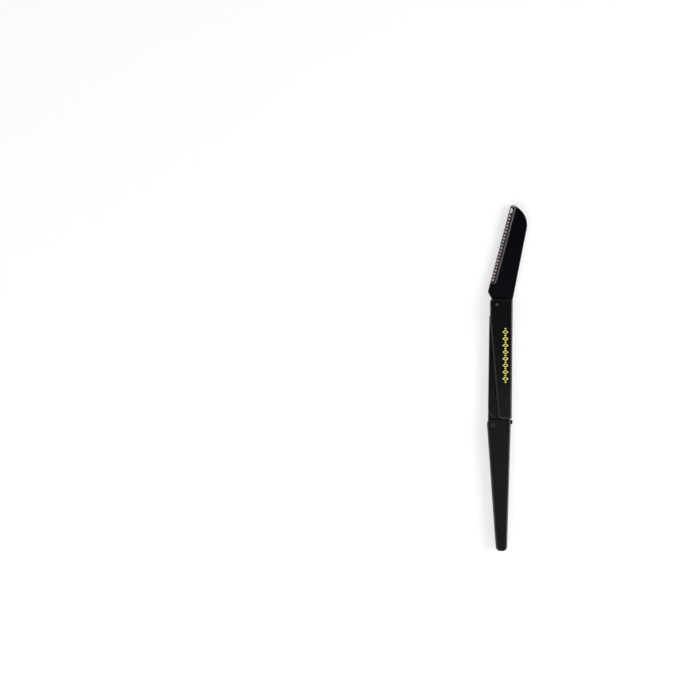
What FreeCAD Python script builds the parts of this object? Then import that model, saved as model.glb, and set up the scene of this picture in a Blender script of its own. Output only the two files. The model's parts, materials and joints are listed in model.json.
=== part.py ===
"""Eyebrow razor that folds in three sections: a head with a guarded blade, a flat sheath and a tail.

The razor lies on its back in the plane z = 0 with its front face towards +Z.
+Y runs from the tail to the head and +X points to the closed side of the sheath.
The origin is the middle of the sheath's back face. Lengths are in millimetres, angles in degrees.
"""

import FreeCAD
import Part

import math
import os
from types import SimpleNamespace

import Sketcher

SIZES = {
    # Layers across the thickness, from the head outwards
    "head_thickness": 1.6,
    "head_side_clearance": 0.2,
    "sheath_wall": 0.7,
    "tail_side_clearance": 0.15,
    "tail_wall": 0.85,
    "head_washer_thickness": 0.2,
    "tail_washer_thickness": 0.5,
    "washer_clearance": 0.04,
    "seam_chamfer": 0.08,
    # Sheath, seen from the front
    "sheath_top_reach": 28.0,
    "sheath_block_height": 5.05,
    "sheath_web": 0.8,
    "sheath_web_flare": 0.52,
    "sheath_left_top": 4.85,
    "sliver_step": 0.3,
    "thick_zone_height": 8.0,
    "sheath_left_corner": 1.3,
    "sheath_right_corner": 0.6,
    "panel_right_corner": 2.1,
    "shoulder_corner": 0.8,
    "ridge_corner": 2.0,
    "sliver_corner": 5.0,
    "ridge_clearance": 0.2,
    "sliver_round": 0.35,
    "panel_round": 0.9,
    "blade_slot_clearance": 0.75,
    "slot_floor_clearance": 0.76,
    "slot_floor_corner": 1.5,
    "stop_clearance": 0.2,
    # Tongue of the sheath, between the walls of the tail
    "tongue_radius": 2.25,
    "tongue_corner": 1.2,
    "tongue_clearance": 0.3,
    "nose_gap": 0.3,
    "nose_neck_inset": 0.95,
    "nose_reach": 0.42,
    "nose_height": 2.1,
    "nose_corner": 0.7,
    "nose_web_clearance": 0.2,
    # Pegs and ribs that join the shells
    "shell_peg_radius": 0.7,
    "shell_peg_height": 0.9,
    "peg_clearance": 0.05,
    "block_peg_inset": 2.3,
    "block_peg_rise": 2.3,
    "web_rib_width": 0.3,
    "web_rib_height": 0.3,
    "web_rib_inset": 2.5,
    # Head, measured from its pivot with the blade edge upright
    "head_pivot_left": 1.79,
    "head_pivot_drop": 2.6,
    "head_lean_angle": 14.76,
    "blade_edge_offset": 5.52,
    "head_tip_reach": 48.14,
    "tip_corner": 1.6,
    "crown_corner_drop": 3.9,
    "crown_corner_right": 4.27,
    "crown_round_share": 1.37,
    "spine_base_right": 6.78,
    "spine_base_corner": 0.5,
    "head_shoulder_height": 2.3,
    "head_shoulder_left": 2.65,
    "heel_left": 5.52,
    "heel_reach": 4.8,
    "heel_corner": 0.6,
    "head_bevel": 0.3,
    "tang_radius": 2.4,
    "washer_radius": 2.2,
    "washer_side_clearance": 0.5,
    # Guard strip along the blade
    "strip_width": 2.6,
    "strip_lower_reach": 9.0,
    "strip_corner": 1.9,
    "foil_thickness": 0.15,
    "foil_gap": 0.05,
    "rim_thickness": 0.4,
    "rim_width": 0.5,
    "guard_flat_width": 0.6,
    "guard_insert": 1.2,
    "guard_tail": 0.6,
    "guard_end_margin": 1.1,
    "insert_clearance": 0.03,
    "window_radius": 0.47,
    "window_pitch": 1.558,
    "window_margin": 0.3,
    "window_rim_margin": 0.06,
    "first_window_rise": 1.74,
    "tip_window_length": 2.85,
    "tip_window_depth": 1.15,
    "tip_window_drop": 3.71,
    # Blade
    "blade_thickness": 0.3,
    "blade_edge_thickness": 0.04,
    "blade_edge_recess": 0.82,
    "blade_width": 5.95,
    "blade_bevel_width": 0.95,
    "blade_lower_margin": 0.6,
    "blade_corner_cut": 3.0,
    "blade_peg_radius": 0.6,
    "blade_peg_height": 0.5,
    "blade_peg_inset": 6.0,
    # Tail, measured from its pivot
    "tail_pivot_left": 3.6,
    "tail_pivot_drop": 2.85,
    "tail_shoulder_gap": 0.25,
    "tail_top_margin": 0.1,
    "tail_left_offset": 2.61,
    "tail_right_offset": 8.42,
    "tail_tip_left": 1.56,
    "tail_tip_right": 6.66,
    "tail_left_corner": 1.9,
    "tail_right_corner": 0.8,
    "tail_tip_corner": 2.2,
    "tail_web": 0.9,
    "tail_solid_tip": 5.2,
    "tail_floor_corner": 1.0,
    "tail_round": 0.8,
    "tail_peg_rise": 2.8,
    "fold_shortfall_angle": 0.7,
    # Pivot pins and their caps
    "pin_radius": 0.63,
    "bore_clearance": 0.04,
    "head_pin_head_radius": 0.8,
    "head_pin_head_height": 0.4,
    "head_pin_sink": 0.2,
    "head_pin_round": 0.28,
    "tail_pin_head_radius": 1.1,
    "tail_pin_head_height": 0.34,
    "tail_pin_sink": 0.4,
    "tail_pin_round": 0.1,
    "pin_head_clearance": 0.08,
    "cap_radius": 0.95,
    "cap_thickness": 0.3,
    "cap_skin": 0.12,
    "cap_recess": 0.08,
    "cut_overrun": 1.0,
}

FRONT = 1
BACK = -1
LEVEL_TOLERANCE_SHARE = 1e-5

doc = FreeCAD.newDocument("eyebrow_razor")
sheet = doc.addObject("Spreadsheet::Sheet", "Sizes")


class Size:
    """A size as a number, together with the sheet expression that gives the same number."""

    def __init__(self, value, text):
        self.value = value
        self.text = text

    def __add__(self, other):
        other = as_size(other)
        return Size(self.value + other.value, f"({self.text} + {other.text})")

    def __sub__(self, other):
        other = as_size(other)
        return Size(self.value - other.value, f"({self.text} - {other.text})")

    def __mul__(self, other):
        other = as_size(other)
        return Size(self.value * other.value, f"({self.text} * {other.text})")

    def __truediv__(self, other):
        other = as_size(other)
        return Size(self.value / other.value, f"({self.text} / {other.text})")

    def __neg__(self):
        return Size(-self.value, f"(0 - {self.text})")


def as_size(value):
    """A plain count or zero as a Size, and a Size as it is."""
    if isinstance(value, Size):
        return value
    return Size(float(value), str(value))


NOTHING = as_size(0)


def tangent(angle):
    return Size(math.tan(math.radians(angle.value)), f"tan({angle.text} * 1 deg)")


def cosine(angle):
    return Size(math.cos(math.radians(angle.value)), f"cos({angle.text} * 1 deg)")


def whole_number(size):
    """The size cut down to a whole number."""
    return Size(math.floor(size.value), f"floor({size.text})")


def outwards(side, size):
    """The size as a height on the front half, and as a depth on the back half."""
    return size if side == FRONT else -size


for row, (alias, number) in enumerate(SIZES.items(), start=1):
    sheet.set(f"A{row}", alias)
    sheet.set(f"B{row}", str(number))
    sheet.setAlias(f"B{row}", alias)
doc.recompute()

mm = SimpleNamespace(**{alias: Size(number, f"Sizes.{alias}") for alias, number in SIZES.items()})

# Half thicknesses, counted from the middle plane
head_half = mm.head_thickness / 2
slot_half = head_half + mm.head_side_clearance
sliver_half = slot_half + mm.sheath_wall
channel_half = sliver_half + mm.tail_side_clearance
razor_half = channel_half + mm.tail_wall
tang_half = slot_half - mm.head_washer_thickness - mm.washer_clearance * 2
tongue_half = channel_half - mm.tail_washer_thickness - mm.washer_clearance * 2
blade_half = mm.blade_thickness / 2
guard_inner_half = blade_half + mm.foil_gap
guard_half = guard_inner_half + mm.foil_thickness
bore_radius = mm.pin_radius + mm.bore_clearance
blade_hole_radius = mm.blade_peg_radius + mm.peg_clearance
shell_hole_radius = mm.shell_peg_radius + mm.peg_clearance
shell_hole_depth = mm.shell_peg_height + mm.peg_clearance

# The two pivots in the frame of the whole razor
head_pivot_x = -mm.head_pivot_left
head_pivot_y = mm.sheath_top_reach - mm.head_pivot_drop
slot_floor = head_pivot_y - mm.head_tip_reach - mm.slot_floor_clearance
sheath_shoulder = slot_floor - mm.sheath_block_height
tail_pivot_x = -mm.tail_pivot_left
tail_pivot_y = sheath_shoulder - mm.tail_pivot_drop
tail_length = mm.sheath_top_reach - tail_pivot_y - mm.tail_top_margin


def new_body(label, place, lean=None):
    """An empty body with its middle plane at the middle of the razor and its origin at place."""
    body = doc.addObject("PartDesign::Body", label)
    body.Label = label
    if lean is not None:
        turn = FreeCAD.Rotation(FreeCAD.Vector(0, 0, -1), lean.value)
        body.Placement = FreeCAD.Placement(FreeCAD.Vector(), turn)
        body.setExpression("Placement.Rotation.Angle", f"{lean.text} * 1 deg")
    for axis, size in zip("xyz", place):
        body.setExpression(f"Placement.Base.{axis}", size.text)
    return body


def new_sketch(body, name, plane="XY_Plane", level=None):
    """A sketch on one of the body's own origin planes, raised along the plane's normal by level."""
    sketch = body.newObject("Sketcher::SketchObject", f"{body.Label}_{name}")
    features = body.Origin.OriginFeatures
    support = next(feature for feature in features if feature.Role == plane)
    sketch.AttachmentSupport = [(support, "")]
    sketch.MapMode = "FlatFace"
    if level is not None:
        sketch.setExpression("AttachmentOffset.Base.z", level.text)
    return sketch


def bind(sketch, kind, *references, size):
    """A constraint of the sketch, bound to the sheet."""
    index = sketch.addConstraint(Sketcher.Constraint(kind, *references, size.value))
    sketch.setExpression(f"Constraints[{index}]", size.text)


def bind_point(sketch, geometry, end, x, y):
    bind(sketch, "DistanceX", -1, 1, geometry, end, size=as_size(x))
    bind(sketch, "DistanceY", -1, 1, geometry, end, size=as_size(y))


def draw_circle(sketch, x, y, radius):
    x = as_size(x)
    y = as_size(y)
    centre = FreeCAD.Vector(x.value, y.value, 0)
    circle = Part.Circle(centre, FreeCAD.Vector(0, 0, 1), radius.value)
    index = sketch.addGeometry(circle, False)
    bind_point(sketch, index, 3, x, y)
    bind(sketch, "Radius", index, size=radius)


def corner_ends(before, corner, after, radius):
    """The ends and the centre of the arc that rounds a corner."""
    back = (before - corner).normalize()
    ahead = (after - corner).normalize()
    half_angle = back.getAngle(ahead) / 2
    reach = radius / math.tan(half_angle)
    middle = (back + ahead).normalize()
    centre = corner + middle * (radius / math.sin(half_angle))
    return corner + back * reach, corner + ahead * reach, centre


def arc_between(start, end, centre, radius):
    """The short arc from start to end, and whether its own first end is start."""
    first = math.atan2(start.y - centre.y, start.x - centre.x)
    last = math.atan2(end.y - centre.y, end.x - centre.x)
    forwards = (last - first) % (2 * math.pi) < math.pi
    if not forwards:
        first, last = last, first
    circle = Part.Circle(centre, FreeCAD.Vector(0, 0, 1), radius)
    return Part.ArcOfCircle(circle, first, last), forwards


def draw_outline(sketch, corners):
    """A closed outline of straight sides through corners of (x, y) or (x, y, radius)."""
    points = [FreeCAD.Vector(as_size(c[0]).value, as_size(c[1]).value, 0) for c in corners]
    count = len(corners)
    ends = []
    for i, corner in enumerate(corners):
        if len(corner) == 3:
            after = points[(i + 1) % count]
            ends.append(corner_ends(points[i - 1], points[i], after, corner[2].value))
        else:
            ends.append((points[i], points[i], None))
    sides = []
    for i in range(count):
        line = Part.LineSegment(ends[i][1], ends[(i + 1) % count][0])
        sides.append(sketch.addGeometry(line, False))
    for i, corner in enumerate(corners):
        before = sides[i - 1]
        after = sides[i]
        if ends[i][2] is None:
            sketch.addConstraint(Sketcher.Constraint("Coincident", before, 2, after, 1))
            bind_point(sketch, after, 1, corner[0], corner[1])
            continue
        start, end, centre = ends[i]
        arc, forwards = arc_between(start, end, centre, corner[2].value)
        index = sketch.addGeometry(arc, False)
        first, last = (1, 2) if forwards else (2, 1)
        sketch.addConstraint(Sketcher.Constraint("Tangent", before, 2, index, first))
        sketch.addConstraint(Sketcher.Constraint("Tangent", after, 1, index, last))
        bind(sketch, "Radius", index, size=corner[2])
        mark = sketch.addGeometry(Part.Point(points[i]), True)
        bind_point(sketch, mark, 1, corner[0], corner[1])
        sketch.addConstraint(Sketcher.Constraint("PointOnObject", mark, 1, before))
        sketch.addConstraint(Sketcher.Constraint("PointOnObject", mark, 1, after))


def outline_sketch(body, name, corners, plane="XY_Plane", level=None):
    sketch = new_sketch(body, name, plane, level)
    draw_outline(sketch, corners)
    return sketch


def circle_sketch(body, name, circles, level=None):
    sketch = new_sketch(body, name, level=level)
    for x, y, radius in circles:
        draw_circle(sketch, x, y, radius)
    return sketch


def pad(body, name, sketch, length, side=FRONT, both_ways=False):
    """Material from the sketch outwards, or the same length to either side of it."""
    feature = body.newObject("PartDesign::Pad", f"{body.Label}_{name}")
    feature.Profile = sketch
    feature.Reversed = side == BACK
    full_length = length
    if both_ways:
        feature.SideType = "Symmetric"
        full_length = length * 2
    feature.setExpression("Length", full_length.text)
    doc.recompute()
    return feature


def pocket(body, name, sketch, depth, side=FRONT, both_ways=False):
    """A cut from the sketch towards side, or the same depth to either side of it."""
    volume = body.Shape.Volume
    feature = body.newObject("PartDesign::Pocket", f"{body.Label}_{name}")
    feature.Profile = sketch
    feature.Reversed = side == FRONT
    full_depth = depth
    if both_ways:
        feature.SideType = "Symmetric"
        full_depth = depth * 2
    feature.setExpression("Length", full_depth.text)
    doc.recompute()
    if not body.Shape.Volume < volume:
        raise RuntimeError(f"{feature.Label} cuts nothing")
    return feature


def level_edges(shape, height):
    """Names of the edges that lie at one height."""
    names = []
    tolerance = shape.BoundBox.DiagonalLength * LEVEL_TOLERANCE_SHARE
    for i, edge in enumerate(shape.Edges, start=1):
        box = edge.BoundBox
        if abs(box.ZMin - height) < tolerance and abs(box.ZMax - height) < tolerance:
            names.append(f"Edge{i}")
    return names


def ease(body, kind, name, size, height):
    """A fillet or a chamfer along all edges at one height."""
    base = body.Tip
    names = level_edges(base.Shape, height.value)
    feature = body.newObject(f"PartDesign::{kind}", f"{body.Label}_{name}")
    feature.Base = (base, names)
    feature.setExpression("Radius" if kind == "Fillet" else "Size", size.text)
    doc.recompute()
    return feature


# Lines that the sheath and the tail share
left_slope = (mm.tail_left_offset + mm.tail_tip_left) / tail_length
right_slope = (mm.tail_right_offset - mm.tail_tip_right) / tail_length
shortfall_slope = tangent(mm.fold_shortfall_angle)
ridge_slope = (left_slope + shortfall_slope) / (as_size(1) - left_slope * shortfall_slope)


def tail_left_x(y):
    """The open side of the tail at height y of its own frame."""
    return -(mm.tail_left_offset + left_slope * y)


def tail_right_x(y):
    """The closed side of the tail at height y of its own frame."""
    return mm.tail_right_offset + right_slope * y


ridge_offset = mm.tail_left_offset + mm.ridge_clearance


def ridge_x(y):
    """The ridge of the sheath, which the open side of the folded tail meets."""
    return tail_pivot_x + ridge_offset - ridge_slope * (y - tail_pivot_y)


# Sheath
sheath_top = mm.sheath_top_reach
sheath_left_bottom = tail_pivot_x - mm.tongue_radius
step_height = sheath_top - mm.thick_zone_height
web_top = head_pivot_y + mm.head_shoulder_height - mm.stop_clearance
slot_right = head_pivot_x + mm.blade_edge_offset + mm.blade_slot_clearance
sheath_right_bottom = slot_right + mm.sheath_web
sheath_right_top = sheath_right_bottom + mm.sheath_web_flare
tail_channel_right = tail_right_x(-mm.tongue_radius) - mm.tail_web
tongue_right = tail_pivot_x + tail_channel_right - mm.tongue_clearance
tongue_bottom = tail_pivot_y - mm.tongue_radius
nose_top = sheath_shoulder - mm.nose_gap
nose_bottom = nose_top - mm.nose_height
nose_neck_right = sheath_right_bottom - mm.nose_neck_inset
nose_right = sheath_right_bottom + mm.nose_reach

LEFT_STEP = [
    (-mm.sheath_left_top - mm.sliver_step, step_height),
    (-mm.sheath_left_top, step_height),
]


def top_and_right(right_corner):
    """The outline's top and right side, with the given rounding between them."""
    return [
        (-mm.sheath_left_top, sheath_top, mm.sheath_left_corner),
        (sheath_right_top, sheath_top, right_corner),
        (sheath_right_bottom, sheath_shoulder, mm.shoulder_corner),
    ]


def peg_places():
    """Where the pegs stand in the solid block under the slot."""
    height = sheath_shoulder + mm.block_peg_rise
    return [
        (sheath_right_bottom - mm.block_peg_inset, height),
        (sheath_left_bottom + mm.block_peg_inset, height),
    ]


def web_rib(body, name, clearance):
    """The rib along the sheath's web, or its groove."""
    middle = (slot_right + sheath_right_bottom) / 2
    half_width = mm.web_rib_width / 2 + clearance
    low = slot_floor + mm.web_rib_inset - clearance
    high = web_top - mm.web_rib_inset + clearance
    corners = [
        (middle - half_width, low),
        (middle + half_width, low),
        (middle + half_width, high),
        (middle - half_width, high),
    ]
    return outline_sketch(body, name, corners)


def bore_and_counterbore(body, side, x, y, head_radius, sink):
    """The pivot bore through a shell and the seat of the pin's head or cap in its face."""
    bore = circle_sketch(body, "bore_plan", [(x, y, bore_radius)])
    pocket(body, "bore", bore, razor_half + mm.cut_overrun, both_ways=True)
    seat_radius = head_radius + mm.pin_head_clearance
    level = outwards(side, razor_half)
    seat = circle_sketch(body, "seat_plan", [(x, y, seat_radius)], level=level)
    pocket(body, "seat", seat, sink, side=-side)


def make_sheath_shell(side, label):
    """Half of the sheath: tongue with its stop nose, thin sliver and thick panel, and half of the slot."""
    body = new_body(label, (NOTHING, NOTHING, razor_half))
    outside = top_and_right(mm.sheath_right_corner)
    core = outside + [
        (nose_neck_right, sheath_shoulder),
        (nose_neck_right, nose_top),
        (nose_right, nose_top, mm.nose_corner),
        (nose_right, nose_bottom, mm.nose_corner),
        (tongue_right, nose_bottom),
        (tongue_right, tongue_bottom, mm.tongue_corner),
        (sheath_left_bottom, tongue_bottom, mm.tongue_radius),
    ] + LEFT_STEP
    pad(body, "core", outline_sketch(body, "core_plan", core), tongue_half, side)

    sliver = outside + [(sheath_left_bottom, sheath_shoulder, mm.sliver_corner)] + LEFT_STEP
    pad(body, "sliver", outline_sketch(body, "sliver_plan", sliver), sliver_half, side)
    ease(body, "Fillet", "sliver_round", mm.sliver_round, outwards(side, sliver_half))

    ridge_top = tail_pivot_y + (tail_pivot_x + ridge_offset + mm.sheath_left_top) / ridge_slope
    panel = top_and_right(mm.panel_right_corner) + [
        (ridge_x(sheath_shoulder), sheath_shoulder, mm.ridge_corner),
        (-mm.sheath_left_top, ridge_top),
    ]
    pad(body, "panel", outline_sketch(body, "panel_plan", panel), razor_half, side)

    ease(body, "Fillet", "panel_round", mm.panel_round, outwards(side, razor_half))
    ease(body, "Chamfer", "seam", mm.seam_chamfer, NOTHING)

    left = sheath_left_bottom - mm.cut_overrun
    right = sheath_right_top + mm.cut_overrun
    top = sheath_top + mm.cut_overrun
    slot = [
        (left, slot_floor),
        (slot_right, slot_floor, mm.slot_floor_corner),
        (slot_right, web_top),
        (right, web_top),
        (right, top),
        (left, top),
    ]
    pocket(body, "slot", outline_sketch(body, "slot_plan", slot), slot_half, side)

    if side == FRONT:
        bore_and_counterbore(body, side, head_pivot_x, head_pivot_y,
                             mm.head_pin_head_radius, mm.head_pin_sink)
    else:
        bore_and_counterbore(body, side, head_pivot_x, head_pivot_y,
                             mm.cap_radius, mm.cap_thickness + mm.cap_recess)
    tongue_bore = circle_sketch(body, "tongue_bore_plan", [(tail_pivot_x, tail_pivot_y, bore_radius)])
    pocket(body, "tongue_bore", tongue_bore, razor_half, both_ways=True)

    if side == FRONT:
        holes = [(x, y, shell_hole_radius) for x, y in peg_places()]
        pocket(body, "peg_holes", circle_sketch(body, "peg_plan", holes), shell_hole_depth, side)
        groove_depth = mm.web_rib_height + mm.peg_clearance
        pocket(body, "groove", web_rib(body, "groove_plan", mm.peg_clearance), groove_depth, side)
    else:
        pegs = [(x, y, mm.shell_peg_radius) for x, y in peg_places()]
        pad(body, "pegs", circle_sketch(body, "peg_plan", pegs), mm.shell_peg_height, both_ways=True)
        rib = web_rib(body, "rib_plan", NOTHING)
        pad(body, "rib", rib, mm.web_rib_height, both_ways=True)
    return body


# Head
lean_slope = tangent(mm.head_lean_angle)
lean_cosine = cosine(mm.head_lean_angle)
strip_left = -mm.blade_edge_offset
strip_right = strip_left + mm.strip_width
crown_slope = mm.crown_corner_drop / (mm.crown_corner_right - strip_left)
crown_round = (mm.crown_corner_right - strip_right) * mm.crown_round_share
head_place = (head_pivot_x, head_pivot_y, razor_half)


def shoulder_y(x):
    """The head's shoulder, level with the top of the web while the razor is open."""
    return mm.head_shoulder_height / lean_cosine + lean_slope * x


def crown_y(x):
    """The straight top of the head, before its corner is rounded."""
    return mm.head_tip_reach - crown_slope * (x - strip_left)


guard_low = mm.strip_lower_reach - mm.guard_tail
guard_insert_right = strip_right + mm.guard_insert
guard_insert_top = crown_y(guard_insert_right) - mm.guard_end_margin
guard_flat_left = strip_right - mm.guard_flat_width
blade_left = strip_left + mm.blade_edge_recess
blade_right = blade_left + mm.blade_width
blade_low = guard_low + mm.blade_lower_margin
blade_cut_left = blade_right - mm.blade_corner_cut
blade_top = guard_insert_top
blade_peg_x = (guard_insert_right + blade_right) / 2
blade_peg_spots = [
    (blade_peg_x, blade_low + mm.blade_peg_inset),
    (blade_peg_x, blade_top - mm.blade_corner_cut - mm.blade_peg_inset),
]


def blade_outline(clearance):
    """The blade seen flat, grown by clearance for its pocket."""
    return [
        (blade_left - clearance, blade_low - clearance),
        (blade_right + clearance, blade_low - clearance),
        (blade_right + clearance, blade_top - mm.blade_corner_cut + clearance),
        (blade_cut_left + clearance, blade_top + clearance),
        (blade_left - clearance, blade_top + clearance),
    ]


def make_head_carrier(side, label):
    """Half of the plastic head: flat cheek, tang and the pockets for the guard and the blade."""
    body = new_body(label, head_place, mm.head_lean_angle)
    cheek = [
        (strip_right, crown_y(strip_right)),
        (mm.crown_corner_right, crown_y(mm.crown_corner_right), crown_round),
        (mm.spine_base_right, shoulder_y(mm.spine_base_right), mm.spine_base_corner),
        (-mm.head_shoulder_left, shoulder_y(-mm.head_shoulder_left)),
        (-mm.heel_left, mm.heel_reach, mm.heel_corner),
        (strip_left, mm.strip_lower_reach),
        (strip_right, mm.strip_lower_reach, mm.strip_corner),
    ]
    pad(body, "cheek", outline_sketch(body, "cheek_plan", cheek), head_half, side)
    ease(body, "Chamfer", "bevel", mm.head_bevel, outwards(side, head_half))
    ease(body, "Chamfer", "seam", mm.seam_chamfer, NOTHING)
    tang = circle_sketch(body, "tang_plan", [(0, 0, mm.tang_radius)])
    pad(body, "tang", tang, tang_half, side)

    recess_radius = mm.washer_radius + mm.washer_side_clearance
    recess = circle_sketch(body, "recess_plan", [(0, 0, recess_radius)], level=outwards(side, tang_half))
    pocket(body, "recess", recess, head_half, side)
    bore = circle_sketch(body, "bore_plan", [(0, 0, bore_radius)])
    pocket(body, "bore", bore, head_half + mm.cut_overrun, both_ways=True)

    left = -mm.heel_left - mm.cut_overrun
    right = guard_insert_right + mm.insert_clearance
    low = guard_low - mm.insert_clearance
    top = guard_insert_top + mm.insert_clearance
    insert = [(left, low), (right, low), (right, top), (left, top)]
    insert_plan = outline_sketch(body, "insert_plan", insert)
    pocket(body, "guard_pocket", insert_plan, guard_half + mm.insert_clearance, side)
    blade_plan = outline_sketch(body, "blade_plan", blade_outline(mm.insert_clearance))
    pocket(body, "blade_pocket", blade_plan, blade_half + mm.insert_clearance, side)

    if side == FRONT:
        holes = [(x, y, blade_hole_radius) for x, y in blade_peg_spots]
        depth = mm.blade_peg_height + mm.peg_clearance
        pocket(body, "peg_holes", circle_sketch(body, "peg_plan", holes), depth, side)
    else:
        pegs = [(x, y, mm.blade_peg_radius) for x, y in blade_peg_spots]
        pad(body, "pegs", circle_sketch(body, "peg_plan", pegs), mm.blade_peg_height, both_ways=True)
    return body


def make_blade(label):
    """Flat steel strip with a clipped corner, two locating holes and an edge ground from both faces."""
    body = new_body(label, head_place, mm.head_lean_angle)
    plan = outline_sketch(body, "plan", blade_outline(NOTHING))
    pad(body, "strip", plan, blade_half, both_ways=True)
    holes = [(x, y, blade_hole_radius) for x, y in blade_peg_spots]
    pocket(body, "holes", circle_sketch(body, "hole_plan", holes), mm.blade_thickness, both_ways=True)

    bevel_right = blade_left + mm.blade_bevel_width
    edge_half = mm.blade_edge_thickness / 2
    bevel_slope = (blade_half - edge_half) / mm.blade_bevel_width
    outside = blade_left - mm.cut_overrun
    outside_half = edge_half - bevel_slope * mm.cut_overrun
    clear_half = blade_half + mm.cut_overrun
    for side, name in ((FRONT, "front_bevel"), (BACK, "back_bevel")):
        section = [
            (bevel_right, outwards(side, blade_half)),
            (outside, outwards(side, outside_half)),
            (outside, outwards(side, clear_half)),
            (bevel_right, outwards(side, clear_half)),
        ]
        sketch = outline_sketch(body, f"{name}_section", section, plane="XZ_Plane")
        pocket(body, name, sketch, mm.head_tip_reach + mm.cut_overrun, both_ways=True)
    return body


def make_blade_guard(label):
    """Folded foil over the blade edge: two leaves, a closed rim and a row of windows."""
    body = new_body(label, head_place, mm.head_lean_angle)
    plan = [
        (strip_left, guard_low),
        (guard_insert_right, guard_low),
        (guard_insert_right, guard_insert_top),
        (strip_right, guard_insert_top),
        (strip_right, crown_y(strip_right)),
        (strip_left, mm.head_tip_reach, mm.tip_corner),
    ]
    pad(body, "leaves", outline_sketch(body, "plan", plan), guard_half, both_ways=True)

    rim_half = mm.rim_thickness / 2
    slope_width = guard_flat_left - strip_left
    slope = (guard_half - rim_half) / slope_width
    outside = strip_left - mm.cut_overrun
    outside_half = rim_half - slope * mm.cut_overrun
    clear_half = guard_half + mm.cut_overrun
    along = mm.head_tip_reach + mm.cut_overrun
    for side, name in ((FRONT, "front_slope"), (BACK, "back_slope")):
        section = [
            (guard_flat_left, outwards(side, guard_half)),
            (outside, outwards(side, outside_half)),
            (outside, outwards(side, clear_half)),
            (guard_flat_left, outwards(side, clear_half)),
        ]
        sketch = outline_sketch(body, f"{name}_section", section, plane="XZ_Plane")
        pocket(body, name, sketch, along, both_ways=True)

    rim_right = strip_left + mm.rim_width
    rim_inner_half = rim_half + slope * mm.rim_width - mm.foil_thickness
    leaf_end = guard_insert_right + mm.cut_overrun
    hollow = [
        (leaf_end, guard_inner_half),
        (guard_flat_left, guard_inner_half),
        (rim_right, rim_inner_half),
        (rim_right, -rim_inner_half),
        (guard_flat_left, -guard_inner_half),
        (leaf_end, -guard_inner_half),
    ]
    hollow_section = outline_sketch(body, "hollow_section", hollow, plane="XZ_Plane")
    pocket(body, "hollow", hollow_section, along, both_ways=True)

    tip_window = new_sketch(body, "tip_window_plan")
    windows_left = rim_right + mm.window_rim_margin
    draw_tip_window(tip_window, windows_left)
    pocket(body, "tip_window", tip_window, mm.foil_thickness + guard_half, both_ways=True)

    window_x = windows_left + mm.window_radius
    first_y = mm.strip_lower_reach + mm.first_window_rise
    window = circle_sketch(body, "window_plan", [(window_x, first_y, mm.window_radius)])
    first = pocket(body, "window", window, mm.foil_thickness + guard_half, both_ways=True)
    row_of_windows = body.newObject("PartDesign::LinearPattern", f"{label}_windows")
    row_of_windows.Originals = [first]
    row_of_windows.Direction = (window, ["V_Axis"])
    row_of_windows.Mode = "Spacing"
    row_of_windows.setExpression("Offset", mm.window_pitch.text)
    tip_window_low = mm.head_tip_reach - mm.tip_window_drop - mm.tip_window_length / 2
    room = tip_window_low - mm.window_margin - mm.window_radius - first_y
    count = whole_number(room / mm.window_pitch) + 1
    row_of_windows.setExpression("Occurrences", count.text)
    body.Tip = row_of_windows
    doc.recompute()
    return body


def draw_tip_window(sketch, straight_x):
    """The large window next to the tip: a straight side along the rim and a round one."""
    half_length = mm.tip_window_length / 2
    depth = mm.tip_window_depth
    radius = (half_length * half_length + depth * depth) / (depth * 2)
    middle = mm.head_tip_reach - mm.tip_window_drop
    low = middle - half_length
    high = middle + half_length
    start = FreeCAD.Vector(straight_x.value, high.value, 0)
    end = FreeCAD.Vector(straight_x.value, low.value, 0)
    line = sketch.addGeometry(Part.LineSegment(start, end), False)
    bulge = FreeCAD.Vector((straight_x + depth).value, middle.value, 0)
    arc = sketch.addGeometry(Part.Arc(end, bulge, start), False)
    bind_point(sketch, line, 1, straight_x, high)
    bind_point(sketch, line, 2, straight_x, low)
    sketch.addConstraint(Sketcher.Constraint("Coincident", line, 2, arc, 1))
    sketch.addConstraint(Sketcher.Constraint("Coincident", line, 1, arc, 2))
    bind(sketch, "Radius", arc, size=radius)


# Tail
tail_top = mm.tail_pivot_drop - mm.tail_shoulder_gap
tail_place = (tail_pivot_x, tail_pivot_y, razor_half)
channel_floor = mm.tail_solid_tip - tail_length
tail_web_top = nose_bottom - mm.nose_web_clearance - tail_pivot_y


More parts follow.
